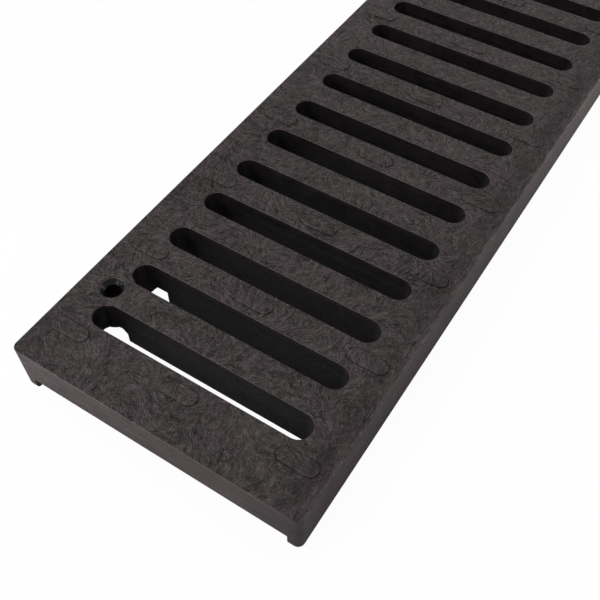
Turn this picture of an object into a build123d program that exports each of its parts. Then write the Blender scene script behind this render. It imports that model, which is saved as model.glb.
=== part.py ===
from build123d import *
import math
import os

# A slotted drain grate for a trench channel, moulded in one piece.
# X runs across the grate, Y along it and Z up. The origin is on the ground under its middle.
# All sizes are in millimetres and all angles in degrees.

# Plan
width = 136.0              # across the walking face
slot_count = 22
slot_pitch = 25.4
end_margin = 32.2          # from the middle of the first slot to the end face
side_margin = 15.8         # from the ends of the slots to the side face
corner_radius = 3.0        # of the four upright corners

# Heights
height = 25.8              # of the walking face above the ground
bar_rise = 3.0             # gap between the bars and the ground
end_wall_rise = 7.1        # gap between the end walls and the ground

# Walls
draft = 1.0                # lean of the outer faces, which leaves the foot narrower than the top
skirt_thickness = 5.8      # of the two long sides, where they reach the ground
end_wall_thickness = 7.0
deck_thickness = 8.0       # of the plate over the pockets at both ends
first_bar_thickness = 6.6  # of the wall between an end pocket and the slot next to it
pocket_rib_thickness = 5.0

# Slots
slot_width = 11.6

# Edges
slot_edge_break = 0.5      # small bevel around each slot's rim
top_edge_break = 0.8       # small bevel around the walking face
foot_outer_radius = 2.2
foot_inner_radius = 1.8

# Screw holes, one near each end and on opposite sides, each in a round boss
screw_inset = 14.0         # from the side face
screw_bar = 1              # the bar that holds the screw, counted from the end band
screw_hole_diameter = 6.6
countersink_diameter = 11.4
countersink_angle = 90.0
boss_diameter = 19.2
boss_depth = 15.4          # from the walking face down

# Room below a boss for the locking bar that turns with the screw
lock_room_reach = 10.6     # from the screw towards the middle of the grate
lock_room_bevel = 2.2
notch_start = 1.3          # of the notch in the next bar, from the screw towards the middle
notch_slope_run = 5.4
notch_end = 12.2

# Raised grip pads
pad_length = 17.6
pad_width = 6.8
pad_height = 0.4
pad_edge_lean = 30.0
pad_inset = 14.0           # of the two outer columns, from the side face
pad_row_step = 2           # there is a row of pads on every second bar

# What follows from the sizes above
length = (slot_count - 1) * slot_pitch + 2 * end_margin
slot_length = width - 2 * side_margin
first_slot_y = -length / 2 + end_margin
lean = math.tan(math.radians(draft)) * height
skirt_inner_x = width / 2 - lean - skirt_thickness
screw_x = -width / 2 + screw_inset
screw_y = first_slot_y + (screw_bar - 0.5) * slot_pitch
lock_room_top = height - boss_depth
pad_columns = (-width / 2 + pad_inset, 0, width / 2 - pad_inset)


def turned(shape):
    """The same shape at the other end of the grate, half a turn about Z."""
    return Rot(0, 0, 180) * shape


def block(x_range, y_range, z_range):
    """A plain block between a low and a high value along each axis."""
    lows, highs = zip(x_range, y_range, z_range)
    size = [high - low for low, high in zip(lows, highs)]
    return Pos(*lows) * Box(*size, align=(Align.MIN, Align.MIN, Align.MIN))


def outer_block():
    """The whole outline, drafted down from the walking face, bevelled above and rounded below."""
    plan = Pos(0, 0, height) * RectangleRounded(width, length, corner_radius)
    body = extrude(plan, amount=height, dir=(0, 0, -1), taper=draft)
    body = chamfer(body.faces().sort_by(Axis.Z)[-1].edges(), top_edge_break)
    foot_radius = min(foot_outer_radius, 0.9 * (corner_radius - lean))
    return fillet(body.faces().sort_by(Axis.Z)[0].edges(), foot_radius)


def underside():
    """What is open below, between the skirts: under the bars and under both end walls."""
    across = (-skirt_inner_x, skirt_inner_x)
    wall_back = -length / 2 + end_wall_thickness
    under_bars = block(across, (-length, length), (-height, bar_rise))
    under_wall = block(across, (-length, wall_back), (-height, end_wall_rise))
    return [under_bars, under_wall, turned(under_wall)]


def rounded_feet(body):
    """The body with the inner edge of both skirts rounded where they stand on the ground."""
    feet = body.faces().filter_by(Axis.Z).group_by(Axis.Z)[0]
    edges = [edge for foot in feet for edge in foot.edges()]
    inner = [edge for edge in edges if abs(abs(edge.center().X) - skirt_inner_x) < 0.01]
    return fillet(inner, min(foot_inner_radius, 0.9 * bar_rise))


def end_pockets():
    """The pockets behind one end wall, with a rib left under each column of pads."""
    front = -length / 2 + end_wall_thickness
    back = first_slot_y - slot_width / 2 - first_bar_thickness
    pockets = block((-skirt_inner_x, skirt_inner_x), (front, back), (-height, height - deck_thickness))
    half_rib = pocket_rib_thickness / 2
    for x in pad_columns:
        pockets -= block((x - half_rib, x + half_rib), (front, back), (bar_rise, height))
    return pockets


def screw_boss():
    """The round boss that fills the near corners of the two slots beside the screw."""
    boss = Cylinder(boss_diameter / 2, height, align=(Align.CENTER, Align.CENTER, Align.MIN))
    boss = chamfer(boss.edges().sort_by(Axis.Z)[-1], slot_edge_break)
    return Pos(screw_x, screw_y, 0) * boss


def slots():
    """All the slots, each bevelled at its rim, and cut short where there is a boss."""
    tile = block((-width / 2, width / 2), (-slot_pitch / 2, slot_pitch / 2), (0, height))
    plan = Pos(0, 0, height) * SlotOverall(slot_length, slot_width)
    pierced = tile - extrude(plan, amount=height, dir=(0, 0, -1))
    rim = pierced.faces().sort_by(Axis.Z)[-1].inner_wires()[0].edges()
    slot = tile - chamfer(rim, slot_edge_break)
    row = [Pos(0, first_slot_y + index * slot_pitch, 0) * slot for index in range(slot_count)]
    bosses = [screw_boss(), turned(screw_boss())]
    return [cutter - bosses for cutter in row]


def lock_room():
    """The room under one boss, and the notch through the next bar that leads into it."""
    next_slot_y = first_slot_y + screw_bar * slot_pitch
    across = (-skirt_inner_x, screw_x + lock_room_reach)
    room = block(across, (next_slot_y - slot_pitch, next_slot_y), (-height, lock_room_top))
    inner_top_edge = room.edges().filter_by(Axis.Y).group_by(Axis.X)[-1].sort_by(Axis.Z)[-1]
    room = chamfer(inner_top_edge, lock_room_bevel)
    start = screw_x + notch_start
    end = screw_x + notch_end
    slope_top = (start + notch_slope_run, lock_room_top)
    corners = [(start, -height), (start, bar_rise), slope_top, (end, lock_room_top), (end, -height)]
    profile = Plane.XZ * make_face(Polyline(*corners, close=True))
    notch = extrude(Pos(0, next_slot_y, 0) * profile, amount=slot_pitch, dir=(0, 1, 0))
    return room + notch


def screw_hole():
    """The hole through a boss, with the cone that takes the screw's head."""
    hole_radius = screw_hole_diameter / 2
    head_radius = countersink_diameter / 2
    cone_depth = (head_radius - hole_radius) / math.tan(math.radians(countersink_angle / 2))
    hole = Pos(0, 0, height / 2) * Cylinder(hole_radius, 2 * height)
    cone = Cone(hole_radius, head_radius, cone_depth, align=(Align.CENTER, Align.CENTER, Align.MAX))
    return Pos(screw_x, screw_y, 0) * (hole + Pos(0, 0, height) * cone)


def grip_pads():
    """The raised pads: three columns, with a row on both end bands and every second bar."""
    pad = extrude(SlotOverall(pad_length, pad_width), amount=pad_height, taper=pad_edge_lean)
    first_row_y = first_slot_y - slot_pitch / 2
    rows = [first_row_y + row * slot_pitch for row in range(0, slot_count + 1, pad_row_step)]
    return [Pos(x, y, height) * pad for y in rows for x in pad_columns]


def make_grate():
    """The finished moulding."""
    body = rounded_feet(outer_block() - underside())
    body -= [end_pockets(), turned(end_pockets())]
    body -= slots()
    body -= [lock_room(), turned(lock_room())]
    body -= [screw_hole(), turned(screw_hole())]
    return body + grip_pads()


grate = make_grate()
os.makedirs("parts", exist_ok=True)
export_step(grate, "parts/grate.step")
size = grate.bounding_box().size
print("grate", len(grate.solids()), "solid", round(grate.volume / 1000, 1), "cm3", size)
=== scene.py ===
# %% [markdown]
# # A slotted drain grate, moulded in one piece
# The grate lies over a drain channel in a drive or a yard. It is one long moulding of black-brown
# filled plastic: a deck with twenty-two slots, two long side skirts that stand on the channel's ledge,
# and an end wall with hollow pockets behind it at each end. Two screws hold it down.
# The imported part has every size, but its rims are plain bevels, which catch light as cut metal does.
# So this script loads the part for its box and models the moulding once more, with soft rims.

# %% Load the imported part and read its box
import math

import bmesh
import bpy
from mathutils import Matrix, Vector


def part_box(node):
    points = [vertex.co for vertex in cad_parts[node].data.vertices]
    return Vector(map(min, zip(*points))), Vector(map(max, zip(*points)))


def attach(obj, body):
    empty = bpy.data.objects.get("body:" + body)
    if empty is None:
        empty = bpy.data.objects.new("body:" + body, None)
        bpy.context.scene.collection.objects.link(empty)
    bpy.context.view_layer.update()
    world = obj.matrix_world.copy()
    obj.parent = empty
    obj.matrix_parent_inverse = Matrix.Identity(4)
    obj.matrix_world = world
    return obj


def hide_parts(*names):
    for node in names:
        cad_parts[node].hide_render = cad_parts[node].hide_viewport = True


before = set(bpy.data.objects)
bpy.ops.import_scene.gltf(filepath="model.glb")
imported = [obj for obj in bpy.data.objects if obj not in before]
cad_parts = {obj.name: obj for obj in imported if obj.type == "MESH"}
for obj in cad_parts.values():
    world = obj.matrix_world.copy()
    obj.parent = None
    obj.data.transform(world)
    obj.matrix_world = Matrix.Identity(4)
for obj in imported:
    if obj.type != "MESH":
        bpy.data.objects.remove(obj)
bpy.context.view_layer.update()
low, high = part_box("grate")
size = (high - low) * 1000
print("the packed grate measures", [round(value, 2) for value in size], "mm")

# %% [markdown]
# ## Sizes
# The mesh is made in millimetres, because the mould maker thinks in them, and scaled to metres at the
# very end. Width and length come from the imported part's box. The pads stand 0.4 mm proud of the deck,
# so the walking face is that much below the top of the box.

# %% Sizes in millimetres
width, length = size.x, size.y
pad_height = 0.4
deck_top = size.z - pad_height
slot_count, slot_pitch = 22, 25.4
first_slot = -(slot_count - 1) / 2 * slot_pitch
slot_radius, slot_straight = 5.8, 92.8
skirt_inside = 61.75
bar_bottom, end_wall_bottom = 3.0, 7.1
end_wall_thickness = 7.0
wall_inside = length / 2 - end_wall_thickness
screw_x, screw_y = -54.0, first_slot + slot_pitch / 2
lock_room_top = 10.4
column_spacing = 54.0
pad_columns = (-column_spacing, 0.0, column_spacing)
far_below = -20.0
print("slots from", first_slot, "to", -first_slot, "and the walking face at", round(deck_top, 2))

# %% [markdown]
# ## Small helpers
# A block is a unit cube that is scaled and moved. A turned shape is a profile that is spun about Z.
# When the turned shape is given a straight length, its two half turns move apart, which makes the
# outline of a slot or a pad. A list of every corner would do the same, but nobody could read it, and
# the operators keep both helpers a few lines long.

# %% Helpers that add shapes to a bmesh
def add_block(bm, x, y, z):
    """A block between a low and a high value along each axis."""
    lows, highs = Vector((x[0], y[0], z[0])), Vector((x[1], y[1], z[1]))
    corners = bmesh.ops.create_cube(bm, size=1.0)["verts"]
    bmesh.ops.scale(bm, vec=highs - lows, verts=corners)
    bmesh.ops.translate(bm, vec=(lows + highs) / 2, verts=corners)


def only(parts, kind):
    """The vertices or the edges of a mixed result."""
    return [part for part in parts if isinstance(part, kind)]


def added_since(bm, before):
    """The vertices that a bmesh has gained."""
    return [vertex for vertex in bm.verts if vertex not in before]


def add_turned(bm, profile, straight=0.0, steps=16, at=(0, 0, 0)):
    """A closed solid from (radius, height) points, round or with two straight sides along X."""
    before = set(bm.verts)
    for side in (1, -1):
        middle = side * straight / 2
        chain = [bm.verts.new((middle, side * radius, height)) for radius, height in profile]
        edges = [bm.edges.new(pair) for pair in zip(chain, chain[1:])]
        bmesh.ops.spin(bm, geom=chain + edges, cent=(middle, 0, 0), axis=(0, 0, 1), angle=-math.pi,
                       steps=steps)
        if straight:
            drawn = bmesh.ops.extrude_edge_only(bm, edges=edges)["geom"]
            bmesh.ops.translate(bm, vec=(-2 * middle, 0, 0), verts=only(drawn, bmesh.types.BMVert))
    bmesh.ops.remove_doubles(bm, verts=added_since(bm, before), dist=0.001)
    made = added_since(bm, before)
    rims = {edge for vertex in made for edge in vertex.link_edges if edge.is_boundary}
    bmesh.ops.holes_fill(bm, edges=list(rims), sides=0)
    bmesh.ops.translate(bm, vec=at, verts=made)


def arc(centre, radius, start, end, steps):
    """Points on an arc, for the rounded part of a profile, with its angles in degrees."""
    angles = [math.radians(start + (end - start) * step / steps) for step in range(steps + 1)]
    return [(centre[0] + radius * math.cos(angle), centre[1] + radius * math.sin(angle))
            for angle in angles]


# %% [markdown]
# ## Rounding and cutting
# A bevel with several segments rounds an edge. The cuts are Boolean modifiers with the exact solver:
# a mould maker would likewise start from a block and sink one shape after another into it. Each cut
# is applied at once, so the next one meets a plain mesh and prints how many faces are left.

# %% Helpers that round, name and cut a mesh
def round_edges(bm, edges, radius, segments):
    """Rounds edges with a bevel. In a script it needs every one of these values."""
    bmesh.ops.bevel(bm, geom=list(edges), offset=radius, offset_type="OFFSET", segments=segments,
                    profile=0.5, affect="EDGES", material=-1)


def edges_where(bm, test):
    """The edges whose two ends both pass a test on their place."""
    return [edge for edge in bm.edges if all(test(vertex.co) for vertex in edge.verts)]


def as_object(name, bm):
    """The shapes as an object, with doubles merged and faces turned outwards."""
    bmesh.ops.remove_doubles(bm, verts=bm.verts, dist=0.0005)
    bmesh.ops.recalc_face_normals(bm, faces=bm.faces)
    mesh = bpy.data.meshes.new(name)
    bm.to_mesh(mesh)
    bm.free()
    piece = bpy.data.objects.new(name, mesh)
    bpy.context.collection.objects.link(piece)
    return piece


def combine(body, tool, operation):
    """Joins a tool to the body, or cuts it out, and keeps only the result."""
    step = body.modifiers.new(operation.lower(), "BOOLEAN")
    step.operation = operation
    step.solver = "EXACT"
    step.object = tool
    made = bpy.data.meshes.new_from_object(body.evaluated_get(bpy.context.evaluated_depsgraph_get()))
    body.modifiers.clear()
    old = [body.data, tool.data]
    body.data = made
    bpy.data.objects.remove(tool)
    for mesh in old:
        bpy.data.meshes.remove(mesh)
    print(operation.lower(), "leaves", len(body.data.polygons), "faces")
    return body


# %% [markdown]
# ## The outer block
# The mould's two halves part at the rim of the walking face, where the grate is widest, and the sides
# lean in by one degree towards the foot, so that it comes out of the steel. A lathe can't make this
# and neither can a plain extrusion, but a cube with three bevels can: first the upright corners, then
# the rim of the walking face, then the foot. The lean comes last, because bevels are easiest on
# square corners.

# %% The outer block
draft_angle = 1.0
corner_radius, top_radius, foot_radius = 3.0, 0.45, 2.2


def lean(bm):
    """Leans every side inwards towards the ground by the draft angle."""
    for vertex in bm.verts:
        inwards = math.tan(math.radians(draft_angle)) * (deck_top - vertex.co.z)
        vertex.co.x -= math.copysign(inwards, vertex.co.x)
        vertex.co.y -= math.copysign(inwards, vertex.co.y)


bm = bmesh.new()
add_block(bm, (-width / 2, width / 2), (-length / 2, length / 2), (0, deck_top))
upright = [edge for edge in bm.edges if abs(edge.verts[0].co.z - edge.verts[1].co.z) > 1]
round_edges(bm, upright, corner_radius, 8)
round_edges(bm, edges_where(bm, lambda place: place.z > deck_top - 0.01), top_radius, 4)
round_edges(bm, edges_where(bm, lambda place: place.z < 0.01), foot_radius, 7)
lean(bm)
grate = as_object("grate_moulding", bm)
print("the outer block has", len(grate.data.polygons), "faces")

# %% [markdown]
# ## The open underside
# Below, the grate is open between its skirts. The bars end 3 mm above the ground, so only the
# skirts touch the channel, and the end walls stop higher still, at 7.1 mm. The skirts and walls could
# be drawn up one by one, but then their corners would have to be joined, and a block that is cut open
# keeps them whole. The inner edge of each skirt's foot is rounded once the opening has been cut.

# %% Cut the underside and round the feet
across = (-skirt_inside, skirt_inside)
foot_inner_radius = 1.8

bm = bmesh.new()
add_block(bm, across, (-length, length), (far_below, bar_bottom))
grate = combine(grate, as_object("under_bars", bm), "DIFFERENCE")

bm = bmesh.new()
bm.from_mesh(grate.data)
feet = edges_where(bm, lambda place: place.z < 0.001 and abs(abs(place.x) - skirt_inside) < 0.01)
round_edges(bm, feet, foot_inner_radius, 5)
bm.to_mesh(grate.data)
bm.free()

bm = bmesh.new()
for end in (-1, 1):
    add_block(bm, across, sorted((end * wall_inside, end * length)), (far_below, end_wall_bottom))
grate = combine(grate, as_object("under_walls", bm), "DIFFERENCE")

# %% [markdown]
# ## The pockets behind the end walls
# A thick solid end would sink and warp as the plastic cools, so the mould hollows it from below
# and leaves ribs under the pads. The ribs could be added to one wide pocket, but it takes fewer steps
# to cut several pockets, each a plain block, and let the ribs be what stays between them.

# %% Cut the end pockets
first_bar_thickness = 6.6
half_rib = 2.5
deck_thickness = 8.0
rib_sides = [x + side * half_rib for x in pad_columns for side in (-1, 1)]
pocket_sides = [-skirt_inside] + rib_sides + [skirt_inside]
pocket_back = -first_slot + slot_radius + first_bar_thickness
pocket_heights = (far_below, deck_top - deck_thickness)

bm = bmesh.new()
for end in (-1, 1):
    along = sorted((end * wall_inside, end * pocket_back))
    for left, right in zip(pocket_sides[::2], pocket_sides[1::2]):
        add_block(bm, (left, right), along, pocket_heights)
grate = combine(grate, as_object("pockets", bm), "DIFFERENCE")

# %% [markdown]
# ## The slots and the screw bosses
# One slot is a profile taken round a stadium: up the wall, out over a quarter round of about half
# a millimetre, and on above the deck. Cutting with that shape gives the rim its rounding for free,
# where a bevel on the finished deck would trip over the bosses.
# A round boss stands in the corner of two slots at each screw, so it is first taken off the cutters.

# %% Cut the slots
rim = 0.55
boss_radius = 9.6
slot_profile = [(slot_radius + rim, deck_top + 1)]
slot_profile += arc((slot_radius + rim, deck_top - rim), rim, 90, 180, 4)
slot_profile += [(slot_radius, -1)]
bm = bmesh.new()
for index in range(slot_count):
    add_turned(bm, slot_profile, slot_straight, 14, at=(0, first_slot + index * slot_pitch, 0))
slots = as_object("slots", bm)

boss_profile = [(boss_radius, -3)] + arc((boss_radius - rim, deck_top - rim), rim, 0, 90, 4)
bm = bmesh.new()
for end in (1, -1):
    add_turned(bm, boss_profile, steps=24, at=(end * screw_x, end * screw_y, 0))
slots = combine(slots, as_object("bosses", bm), "DIFFERENCE")
grate = combine(grate, slots, "DIFFERENCE")

# %% [markdown]
# ## The rooms for the locking bars
# Each screw turns a short bar that hooks under the channel's edge. It swings in a room under the
# boss and goes through a notch in the next bar. The room is a block with one bevelled edge, and
# the notch is a flat outline drawn out along Y. Both ends of the grate are alike by half a turn, so
# each shape is made once and turned.

# %% Cut the lock rooms and their notches
next_slot = screw_y + slot_pitch / 2
room_reach, room_bevel = 10.6, 2.2
notch_start, notch_slope, notch_reach = 1.3, 5.4, 12.2


def add_room(bm):
    """The room under the boss near the low end of X and Y."""
    room_end = screw_x + room_reach
    along = (next_slot - slot_pitch, next_slot)
    add_block(bm, (-skirt_inside, room_end), along, (far_below, lock_room_top))
    upper_inner = edges_where(bm, lambda place: place.x > room_end - 0.01 and place.z > 0)
    round_edges(bm, upper_inner, room_bevel, 1)


def add_notch(bm):
    """The notch through the next bar, which starts a little inside the room."""
    start, end = screw_x + notch_start, screw_x + notch_reach
    outline = [(start, far_below), (start, bar_bottom), (start + notch_slope, lock_room_top)]
    outline += [(end, lock_room_top), (end, far_below)]
    face = bm.faces.new([bm.verts.new((x, next_slot - 1, z)) for x, z in outline])
    drawn = bmesh.ops.extrude_face_region(bm, geom=[face])["geom"]
    bmesh.ops.translate(bm, vec=(0, slot_pitch + 1, 0), verts=only(drawn, bmesh.types.BMVert))


for name, add in (("lock_rooms", add_room), ("notches", add_notch)):
    bm = bmesh.new()
    add(bm)
    other_end = bmesh.ops.duplicate(bm, geom=bm.verts[:] + bm.edges[:] + bm.faces[:])["geom"]
    bmesh.ops.rotate(bm, cent=(0, 0, 0), matrix=Matrix.Rotation(math.pi, 3, "Z"),
                     verts=only(other_end, bmesh.types.BMVert))
    grate = combine(grate, as_object(name, bm), "DIFFERENCE")

# %% [markdown]
# ## The screw holes
# Each hole is turned from one profile: a straight bore, a cone for the head of the screw and a
# softly rounded rim where the cone meets the deck. A cylinder and a cone would do as well, but
# would leave that rim sharp.

# %% Cut the screw holes
bore_radius, head_radius = 3.3, 5.85
cone_foot = deck_top - 2.4
hole_profile = [(bore_radius, -25), (bore_radius, cone_foot)]
hole_profile += [(bore_radius + rise, cone_foot + rise) for rise in (0.8, 1.6, 2.1)]
hole_profile += [(5.6, deck_top - 0.14), (head_radius, deck_top), (head_radius, deck_top + 2)]
bm = bmesh.new()
for end in (1, -1):
    add_turned(bm, hole_profile, steps=24, at=(end * screw_x, end * screw_y, 0))
grate = combine(grate, as_object("screw_holes", bm), "DIFFERENCE")

# %% [markdown]
# ## The grip pads and the gate mark
# Low pads in three columns give wet shoes some hold. A bump in the material would fake them, but their
# edges catch the light. So each one is a turned shape, as a slot is, but it stands up from the deck,
# leans in a little and has a softened upper edge.
# The melt entered the mould on the end band, and a shallow round mark shows where.

# %% Add the grip pads and the gate mark
pad_rows = 12
pad_straight, pad_foot_radius = 10.8, 3.4
pad_profile = [(pad_foot_radius, deck_top - 1.0), (pad_foot_radius, deck_top)]
pad_profile += [(3.30, deck_top + 0.22), (3.22, deck_top + 0.32), (3.08, deck_top + 0.38)]
pad_profile += [(2.9, deck_top + pad_height)]
bm = bmesh.new()
for row in range(pad_rows):
    for column in pad_columns:
        y = first_slot + (2 * row - 0.5) * slot_pitch
        add_turned(bm, pad_profile, pad_straight, 10, at=(column, y, 0))
grate = combine(grate, as_object("pads", bm), "UNION")

gate_place = (37.0, -278.1, 0)
gate_profile = [(2.9, deck_top - 0.15), (3.05, deck_top - 0.1), (3.15, deck_top), (3.15, deck_top + 1)]
bm = bmesh.new()
add_turned(bm, gate_profile, steps=20, at=gate_place)
grate = combine(grate, as_object("gate_mark", bm), "DIFFERENCE")

# %% [markdown]
# ## Finish the mesh
# The mesh is scaled to metres here. Its rounded edges should shade smoothly and its flat faces
# should stay flat, so edges sharper than 38 degrees are marked, and a Weighted Normal modifier
# lets the large flat faces decide how light falls on the narrow ones beside them. More segments in
# every bevel would do that too, at many times the faces.

# %% Scale to metres and set the shading
grate.data.transform(Matrix.Scale(0.001, 4))
grate.data.polygons.foreach_set("use_smooth", [True] * len(grate.data.polygons))
grate.data.set_sharp_from_angle(angle=math.radians(38))
flat = grate.modifiers.new("flat faces stay flat", "WEIGHTED_NORMAL")
flat.keep_sharp = True
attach(grate, "root")
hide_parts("grate")
print("the moulding has", len(grate.data.vertices), "vertices")


# %% [markdown]
# ## Shader maths that reads like sums
# A node tree for a real surface holds dozens of Math nodes. Each could be added and linked by hand,
# but the formula would be lost in the wiring. A small class that stands for one output lets them be
# written as sums, and one function adds every other kind of node.

# %% The class for shader maths
class Output:
    """One output of a node. Sums on it add Math nodes to its tree."""

    def __init__(self, tree, socket):
        self.tree = tree
        self.socket = socket

    def maths(self, operation, *values):
        """A Math node with these values."""
        return add_node(self.tree, "Math", {"operation": operation}, list(values))

    def __add__(self, other):
        return self.maths("ADD", self, other)

    def __sub__(self, other):
        return self.maths("SUBTRACT", self, other)

    def __rsub__(self, other):
        return self.maths("SUBTRACT", other, self)

    def __mul__(self, other):
        return self.maths("MULTIPLY", self, other)

    def __truediv__(self, other):
        return self.maths("DIVIDE", self, other)

    def __abs__(self):
        return self.maths("ABSOLUTE", self)

    __radd__ = __add__
    __rmul__ = __mul__


def add_node(tree, kind, settings, sockets, *outputs):
    """Adds one node, with its settings first, and returns the outputs that are asked for."""
    node = tree.nodes.new("ShaderNode" + kind)
    for name, value in settings.items():
        setattr(node, name, value)
    pairs = enumerate(sockets) if isinstance(sockets, list) else sockets.items()
    for name, value in pairs:
        if isinstance(value, Output):
            tree.links.new(value.socket, node.inputs[name])
        else:
            node.inputs[name].default_value = value
    found = [Output(tree, node.outputs[name]) for name in outputs or range(len(node.outputs))[:1]]
    return found[0] if len(found) == 1 else found


# %% [markdown]
# ## The nodes of one finish
# The whole moulding has one material, because it is one plastic. Its patterns are laid out in
# millimetres on Object coordinates, so they stay put on the piece. An unwrapped map would need a seam
# in every slot.

# %% The finish as one small class
class Finish:
    """The node tree of one finish, with its place in millimetres and the nodes used most."""

    def __init__(self, name):
        self.material = bpy.data.materials.new(name)
        self.material.use_nodes = True
        self.tree = self.material.node_tree
        self.tree.nodes.clear()
        coordinates = self.add("TexCoord", {}, {}, "Object")
        self.place = self.vectors("SCALE", {"Vector": coordinates, "Scale": 1000.0})
        self.x, self.y, self.z = self.split(self.place)

    def add(self, kind, settings, sockets, *outputs):
        """Any node."""
        return add_node(self.tree, kind, settings, sockets, *outputs)

    def function(self, operation, *values):
        """A Math node that has no sign of its own in Python."""
        return self.add("Math", {"operation": operation}, list(values))

    def vectors(self, operation, sockets):
        """A Vector Math node."""
        return self.add("VectorMath", {"operation": operation}, sockets)

    def split(self, place):
        """The three parts of a place."""
        return self.add("SeparateXYZ", {}, [place], "X", "Y", "Z")

    def mix(self, factor, one, other):
        """A blend of two colours. The sockets 6 and 7 are the colours of a Mix node."""
        return self.add("Mix", {"data_type": "RGBA"}, {"Factor": factor, 6: one, 7: other}, 2)

    def noise(self, grain, detail=2.0, roughness=0.5, place=None, output="Fac"):
        """Noise whose lumps are about one grain long, in millimetres."""
        sockets = {"Vector": place or self.place, "Scale": 1 / grain, "Detail": detail,
                   "Roughness": roughness}
        return self.add("TexNoise", {}, sockets, output)

    def cells(self, place, size, *outputs):
        """Flat Voronoi cells of about one size, in millimetres."""
        sockets = {"Vector": place, "Scale": 1 / size, "Randomness": 1.0}
        return self.add("TexVoronoi", {"voronoi_dimensions": "2D"}, sockets, *outputs)

    def rise(self, value, start, end):
        """0 below start and 1 above end, with a smooth change between them."""
        settings = {"interpolation_type": "SMOOTHSTEP"}
        sockets = {"Value": value, "From Min": start, "From Max": end, "To Min": 0.0, "To Max": 1.0}
        return self.add("MapRange", settings, sockets)

    def line(self, distance, middle, core, edge):
        """A soft line: 1 where a distance is near its middle, and 0 beyond its edge."""
        return 1 - self.rise(abs(distance - middle), core, edge)


# %% [markdown]
# ## Strands, fibres and flecks
# The deck shows the short fibres that stiffen the plastic. They lie in tufts that the melt has
# combed, with single ones between them, and where an end comes through there is a pale fleck.
# Noise alone makes clouds, and a photographed texture would need a map and a licence. So flat
# Voronoi cells each comb their own way: a cell's random colour turns and bends a small grid of its
# own, and in that grid noise is drawn out into strands, or one soft line makes a fibre.

# %% Strands, fibres and flecks
def combed(finish, cell, bend, flow, spread, move):
    """Combs each cell its own way: the place along it, across it and a random shade."""
    place = finish.vectors("ADD", [finish.place, move])
    middle, colour = finish.cells(place, cell, "Position", "Color")
    x, y, _ = finish.split(finish.vectors("SUBTRACT", [place, middle]))
    turn, curve, shade = finish.add("SeparateColor", {}, [colour], "Red", "Green", "Blue")
    angle = (flow + (turn - 0.5) * spread) * (2 * math.pi)
    cosine = finish.function("COSINE", angle)
    sine = finish.function("SINE", angle)
    along = x * cosine + y * sine
    across = y * cosine - x * sine + (curve - 0.5) * bend * along * along
    return along, across, shade


def fibre_layer(finish, cell, half_length, half_width, flow, spread, move):
    """Single curved fibres, one in each cell, some lighter and some darker."""
    along, across, shade = combed(finish, cell, 0.25 / half_length, flow, spread, move)
    line = 1 - finish.rise(abs(across), half_width * 0.3, half_width)
    line = line * (1 - finish.rise(abs(along), half_length * 0.5, half_length))
    return line * (shade - 0.34)


def strand_layer(finish, tuft, length, width, flow, spread, move):
    """Tufts of parallel curved strands, each tuft combed its own way."""
    along, across, shade = combed(finish, tuft, 0.22 / tuft, flow, spread, move)
    stretched = finish.add("CombineXYZ", {}, [along / length, across / width, shade * 40.0])
    return finish.noise(1.0, 1.0, 0.5, place=stretched) - 0.5


def fleck_layer(finish, cell):
    """Small pale flecks, each in the middle of a cell, though many cells stay without."""
    away, colour = finish.cells(finish.place, cell, "Distance", "Color")
    chance, _, _ = finish.add("SeparateColor", {}, [colour], "Red", "Green", "Blue")
    return (1 - finish.rise(away, 0.06, 0.17)) * finish.rise(chance, 0.45, 0.9)


# %% [markdown]
# ## Painted shade and highlight lines round the pads and the screw holes
# A painted shade lines the foot of each pad, darkest at the end that lies away from the light, and a
# painted highlight lines its upper edge. The holes have a ring of painted shade inside the rim and a
# ring of painted highlight outside it.
# All of these follow the shapes, so they are written as distances: the pads repeat along X and Y,
# so WRAP and PINGPONG fold the whole deck onto a single pad, and SIGN turns one hole onto the other.

# %% Distances from the pads and the screws
def pad_lines(finish):
    """Two fine lines round every pad: painted shade at its foot and a painted highlight on its upper
    edge.
    """
    column = finish.function("WRAP", finish.x, column_spacing / 2, -column_spacing / 2)
    row = finish.function("PINGPONG", finish.y - (first_slot - slot_pitch / 2), slot_pitch)
    past_straight = finish.function("MAXIMUM", abs(column) - pad_straight / 2, 0.0)
    away = finish.function("SQRT", past_straight * past_straight + row * row)
    # The painted shade is strongest at the end of each pad that lies away from the light.
    shaded = 0.72 + 0.28 * finish.rise(column, 1.0, 7.5)
    foot = finish.line(away, pad_foot_radius + 0.15, 0.1, 0.45) * shaded
    # A painted highlight along the rounded upper edge of each pad.
    lip_highlight = finish.line(away, pad_foot_radius - 0.35, 0.1, 0.4)
    above = finish.rise(finish.z, deck_top - 0.3, deck_top - 0.05)
    return foot * above, lip_highlight * above


def screw_distance(finish):
    """How far a place is from the axis of the nearer screw hole."""
    end = finish.function("SIGN", finish.y)
    x = finish.x * end + screw_x
    y = abs(finish.y) + screw_y
    return finish.function("SQRT", x * x + y * y)


# %% [markdown]
# ## Where each finish lies
# The walking face shows the fibres, the outer walls came smooth off the steel, and the walls of the
# slots are nearly black. Several materials on one mesh would meet in hard lines, so one material
# takes soft masks instead, from the height and the distance to the middle. The masks for the outer
# walls change inside the thickness of a wall, where nobody sees it.

# %% The areas of the moulding
plastic = Finish("grate plastic")
deck = plastic.rise(plastic.z, deck_top - 0.26, deck_top - 0.18)
rim_and_deck = plastic.rise(plastic.z, deck_top - 0.6, deck_top - 0.4)
below_rim = 1 - plastic.rise(plastic.z, deck_top - 0.5, deck_top - 0.3)
ends = plastic.rise(abs(plastic.y), 292.2, 293.0)
sides = plastic.rise(abs(plastic.x), 64.9, 65.5)
end_face = ends * below_rim
side_face = (1 - ends) * below_rim
outer_skin = plastic.function("MAXIMUM", sides, ends)
outer_skin = plastic.function("MAXIMUM", outer_skin, rim_and_deck)
rough_skin = 0.4 + 0.6 * deck
print("the masks of the areas take", len(plastic.tree.nodes), "nodes")

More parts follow.
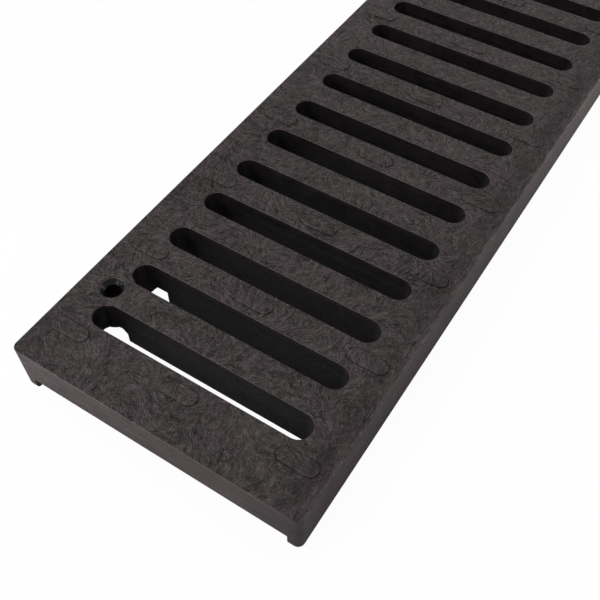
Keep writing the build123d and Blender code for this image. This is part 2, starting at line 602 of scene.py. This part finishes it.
# %% [markdown]
# ## How the melt flowed
# The melt ran in slow swirls that carry the fibres round with them, and straight along the right
# margin, where nothing stood in its way. One broad noise gives the direction for every layer. A
# second one pushes the streaks out of shape, and finer ones give dull patches, mottle and grain.
# The right margin and the end bands cooled first, so everything fine is a little calmer there.

# %% Flow, streaks and grain
drift = plastic.vectors("SUBTRACT", [plastic.noise(26.0, 2.0, output="Color"), (0.5, 0.5, 0.5)])
drift = plastic.vectors("SCALE", {"Vector": drift, "Scale": 26.0})
swirled = plastic.vectors("ADD", [plastic.place, drift])
beside_slots = plastic.rise(plastic.x, 57.0, 66.0)
loose = 1 - beside_slots
flow = plastic.noise(48.0, 1.0) * 2.4 * loose + 0.25 * beside_slots
calm = 1 - plastic.rise(plastic.x, 53.0, 61.0) * 0.3 - plastic.rise(abs(plastic.y), 268.0, 275.0) * 0.15
patches = plastic.noise(40.0, 2.0, 0.5) - 0.5
streaks = plastic.noise(9.0, 4.0, 0.6, place=swirled) - 0.5
mottle = (plastic.noise(2.6, 3.0, 0.62, place=swirled) - 0.5) * calm
grain = (plastic.noise(0.8, 2.0, 0.6) - 0.5) * calm
print("with the flow of the melt there are", len(plastic.tree.nodes), "nodes")

# %% [markdown]
# ## The layers on the deck
# A single layer would show its cells as a pattern of tiles. Three layers of strands and two of
# fibres, of different sizes and moved apart, hide the cells of one another. Each call gives the size
# of a cell and the length and the width of what lies in it, in millimetres and halved for a fibre,
# then the flow, how far the directions spread round it, and how far the layer is moved.

# %% The layers of strands, fibres and flecks
strands = strand_layer(plastic, 7.0, 5.0, 0.36, flow, loose * 0.2, (3, 1, 0))
strands = strands + strand_layer(plastic, 4.5, 2.8, 0.32, flow, loose * 0.34, (1, 7, 5))
strands = strands + strand_layer(plastic, 11.0, 5.0, 1.1, flow, loose * 0.24, (5, 2, 9)) * 1.3
strands = strands * deck * calm
fibres = fibre_layer(plastic, 2.2, 1.7, 0.28, flow, loose * 0.6, (8, 4, 2))
fibres = fibres + fibre_layer(plastic, 5.0, 4.2, 0.34, flow, loose * 0.28, (2, 9, 7))
fibres = fibres * deck * calm
flecks = fleck_layer(plastic, 2.6) * deck * calm
print("with the layers on the deck there are", len(plastic.tree.nodes), "nodes")

# %% [markdown]
# ## Scuffs, painted highlights and painted shade
# Handling scuffs the outer walls along their length, so that noise is drawn out level. The rims of
# the slots and the right edge get a painted highlight, and the corner by the first slot gets painted
# shade. These could be painted by hand, but masks from the place of each edge follow the shape when it
# changes.

# %% Scuffs, painted rim highlights, painted shade and the screw holes
run = plastic.x * ends + plastic.y * (1 - ends)
scuff_place = plastic.add("CombineXYZ", {}, [run / 15.0, plastic.z / 2.2, 0.0])
scuffs = (plastic.noise(1.0, 3.0, 0.55, place=scuff_place) - 0.5) * (1 - rim_and_deck)
right_edge = plastic.rise(plastic.x, 66.4, 67.2)
# Painted highlights on the rims of the slots and along the right edge.
painted_edge_highlight = rim_and_deck * plastic.function("MAXIMUM", 1 - deck, right_edge * 0.7)
painted_slot_rim_highlight = rim_and_deck * (1 - deck) * (1 - plastic.rise(abs(plastic.x), 60.0, 64.0))
right_margin = plastic.rise(plastic.x, 50.0, 60.0) * rim_and_deck
# Painted shade: a mask for the deck's corner by the first slot, at the left.
painted_shade_near_left = (1 - plastic.rise(plastic.x, -60.0, -34.0)) * (1 - plastic.rise(plastic.y, -284.0, -258.0))
painted_pad_foot_shade, painted_pad_edge_highlight = pad_lines(plastic)
# A broad noise varies how strong the painted shade and the painted highlight round the pads are.
pad_line_variation = plastic.rise(plastic.noise(13.0, 2.0), 0.42, 0.62)

from_screw = screw_distance(plastic)
below_deck = 1 - plastic.rise(plastic.z, deck_top - 0.3, deck_top - 0.1)
# This mask darkens the inside of the screw holes as painted shade, and also makes them smoother.
in_hole = (1 - plastic.rise(from_screw, 5.7, 6.0)) * below_deck
# Painted shade in a ring just inside each hole's rim, and a painted highlight in a ring just outside
# it.
painted_ring_shade = plastic.line(from_screw, 5.6, 0.1, 0.4)
painted_ring_highlight = plastic.line(from_screw, 6.2, 0.1, 0.4) * deck
print("with wear and dirt there are", len(plastic.tree.nodes), "nodes")

# %% [markdown]
# ## How light each place is
# All the patterns meet in one number that scales the colour. It starts near 1, the patterns add to
# it or take from it, and painted shade multiplies it, because shade dims what lies below it. The
# painted shade lies in the screw holes, at the foot of each pad, towards the right of the end face
# and at the near left corner; painted highlights add to it outside the holes, on the pads' upper
# edges and along the rims. One number is easier to balance than a chain of colour mixes, and a
# clamp keeps it above black.

# %% The lightness
lightness = 0.96 - right_margin * (0.15 + plastic.rise(plastic.y, -120.0, -50.0) * 0.08)
lightness = lightness + patches * 0.8 + streaks * 1.4 + (mottle * 1.5 + grain * 1.1) * rough_skin
lightness = lightness + strands * 1.6 + fibres * 1.75 + flecks * 1.6 + scuffs * 1.6
# Painted shade in the screw holes and in a ring inside each rim.
lightness = lightness * (1 - in_hole * 0.6) * (1 - painted_ring_shade * 0.85)
# Painted shade at the foot of each pad, strongest at the end away from the light.
lightness = lightness * (1 - painted_pad_foot_shade * (0.65 + pad_line_variation * 0.3))
# Painted highlights: a ring outside each screw hole and the upper edge of each pad.
lightness = lightness + painted_ring_highlight * 0.5 + painted_pad_edge_highlight * (1 - pad_line_variation) * 0.45
# Painted highlights on the rims of the slots and the right edge.
lightness = lightness + painted_edge_highlight * 0.6 + painted_slot_rim_highlight * (1.3 + grain * 6)
# Painted shade: the end face grows darker towards the right.
lightness = lightness * (1 - end_face * plastic.rise(plastic.x, 20.0, 85.0) * 0.42)
# Painted shade at the near left corner of the deck.
lightness = lightness * (1 - painted_shade_near_left * rim_and_deck * 0.22)
lightness = plastic.add("Clamp", {}, {"Value": lightness, "Min": 0.08, "Max": 4.0})
print("with the lightness there are", len(plastic.tree.nodes), "nodes")

# %% [markdown]
# ## The colours
# Black-brown plastic is never one brown: it drifts between two near shades, and the outer walls are
# redder. The shades are blended through the masks, then scaled by the lightness. Where the
# fibres lie thick, a pale grey shows through, as the filler does.

# %% The colours
brown, red_brown = (0.0412, 0.0350, 0.0340, 1), (0.0450, 0.0330, 0.0360, 1)
end_brown, side_brown = (0.0470, 0.0340, 0.0362, 1), (0.0290, 0.0203, 0.0212, 1)
slot_black, filler_grey = (0.0135, 0.0112, 0.0118, 1), (0.095, 0.087, 0.087, 1)
tint = plastic.rise(plastic.noise(14.0, 3.0, 0.6), 0.35, 0.7)
base = plastic.mix(tint, brown, red_brown)
base = plastic.mix(end_face * 0.7, base, end_brown)
base = plastic.mix(side_face, base, side_brown)
base = plastic.mix(outer_skin, slot_black, base)
colour = plastic.vectors("SCALE", {"Vector": base, "Scale": lightness})
pale = plastic.rise(fibres + strands, 0.1, 0.65)
colour = plastic.mix(pale * 0.5, colour, filler_grey)
print("with the colours there are", len(plastic.tree.nodes), "nodes")

# %% [markdown]
# ## Relief and gloss
# The fibres stand proud by less than anyone can measure with a rule. Real geometry for them would
# take millions of faces, so a bump does it. The dull sheen comes from a rough surface that reflects
# little, with the screw holes a bit smoother, because a steel pin formed them.

# %% The bump and the shader
relief = fibres * 0.9 + (strands * 1.2 + mottle * 0.9 + grain * 0.5) * rough_skin
bump = plastic.add("Bump", {}, {"Strength": 1.0, "Distance": 0.0005, "Height": relief})
roughness = 0.38 + 0.2 * outer_skin + mottle * 0.3 + streaks * 0.3 - in_hole * 0.25
sockets = {"Base Color": colour, "Roughness": roughness, "Normal": bump, "Specular IOR Level": 0.12}
shader = plastic.add("BsdfPrincipled", {}, sockets)
plastic.add("OutputMaterial", {}, {"Surface": shader})

grate.data.materials.clear()
grate.data.materials.append(plastic.material)
print("the plastic takes", len(plastic.tree.nodes), "nodes")


# %% [markdown]
# ## The floor
# The grate lies on a white sheet. A brighter lamp would turn the sheet white too, but the grate
# would wash out with it. So the sheet glows for the camera, with a little of its real shading kept
# in, which leaves a soft trace of the shadow. Reflections get hardly any of that glow, so that the
# dark walls stay dark.

# %% The floor
def ray_kinds(tree):
    """Which rays come from the camera, from a reflection and from a transmission."""
    return add_node(tree, "LightPath", {}, {}, "Is Camera Ray", "Is Glossy Ray", "Is Transmission Ray")


def white_floor():
    """White to the camera, and to all other rays nearly or wholly a plain sheet."""
    material = bpy.data.materials.new("white sheet")
    material.use_nodes = True
    tree = material.node_tree
    tree.nodes.clear()
    seen, shiny, through = ray_kinds(tree)
    plain = add_node(tree, "BsdfDiffuse", {}, {"Color": (0.8, 0.8, 0.8, 1)})
    bright = add_node(tree, "Emission", {}, {"Color": (1, 1, 1, 1), "Strength": 1.0})
    share = seen * 0.96 + (shiny + through) * 0.03
    mixed = add_node(tree, "MixShader", {}, [share, plain, bright])
    add_node(tree, "OutputMaterial", {}, {"Surface": mixed})
    return material


bm = bmesh.new()
bmesh.ops.create_grid(bm, x_segments=1, y_segments=1, size=6.0)
bmesh.ops.translate(bm, vec=(0, 0, -0.0002), verts=bm.verts)
floor = as_object("floor", bm)
floor.data.materials.append(white_floor())
print("the sheet measures", [round(value, 1) for value in floor.dimensions], "m")

# %% [markdown]
# ## The room
# Beyond the sheet the world is white for the camera and in reflections, and a weaker grey for all
# other rays, so that it fills the shadows without flattening the grate.

# %% The world
world = bpy.data.worlds.new("studio")
bpy.context.scene.world = world
world.use_nodes = True
world.node_tree.nodes.clear()
seen, shiny, through = ray_kinds(world.node_tree)
room_light = add_node(world.node_tree, "Background", {}, {"Color": (1, 1, 1, 1), "Strength": 0.45})
backdrop = add_node(world.node_tree, "Background", {}, {"Color": (1, 1, 1, 1), "Strength": 1.0})
surface = add_node(world.node_tree, "MixShader", {}, [seen + shiny + through, room_light, backdrop])
add_node(world.node_tree, "OutputWorld", {}, {"Surface": surface})
print("the world takes", len(world.node_tree.nodes), "nodes")


# %% [markdown]
# ## The lamps
# Product light is soft and comes from several sides. One large lamp from the front left lights the
# end wall, one overhead lights the deck, one at the right back lights the far side, and two small low
# ones do what white cards do beside the real thing: they lift the side walls a little.

# %% The lamps
def soft_lamp(name, place, target, size, power):
    """A square soft lamp that faces a point."""
    lamp = bpy.data.lights.new(name, "AREA")
    lamp.shape = "SQUARE"
    lamp.size = size
    lamp.energy = power
    holder = bpy.data.objects.new(name, lamp)
    holder.location = place
    holder.rotation_euler = (Vector(target) - Vector(place)).to_track_quat("-Z", "Y").to_euler()
    bpy.context.collection.objects.link(holder)
    holder.visible_camera = False
    print(name, "lamp of", power, "watts")


soft_lamp("overhead", (-0.35, 0.1, 1.4), (0, -0.05, 0), 0.9, 6.8)
soft_lamp("front left", (-1.0, -2.0, 1.75), (0, -0.1, 0), 1.0, 28.0)
soft_lamp("low card at the left", (-0.20, -0.42, 0.04), (-0.05, -0.3, 0.01), 0.07, 0.35)
soft_lamp("low card at the right", (0.30, 0.12, 0.014), (0.07, 0.0, 0.012), 0.026, 0.7)
soft_lamp("right back", (0.75, 0.8, 0.40), (0.05, 0.1, 0), 0.4, 2.0)

# %% [markdown]
# ## The camera
# The grate was photographed from above its near end, a little to the right. A camera could be turned
# by eye until the picture looks right. Here its lens, place and direction were fitted to the edges
# and the slots instead, so the lines of the deck run together as they should.

# %% The camera
camera_data = bpy.data.cameras.new("camera")
camera_data.lens = 50.70
camera_data.sensor_width = 36.0
camera_data.clip_start, camera_data.clip_end = 0.01, 30.0
camera = bpy.data.objects.new("camera", camera_data)
camera.location = (0.12912, -0.39491, 0.30161)
camera.rotation_euler = Vector((-0.3276, 0.5111, -0.7947)).to_track_quat("-Z", "Y").to_euler()
bpy.context.collection.objects.link(camera)
bpy.context.scene.camera = camera
bpy.context.scene.view_settings.view_transform = "Standard"
print("the camera stands", round(camera.location.length, 3), "m from the middle of the grate")
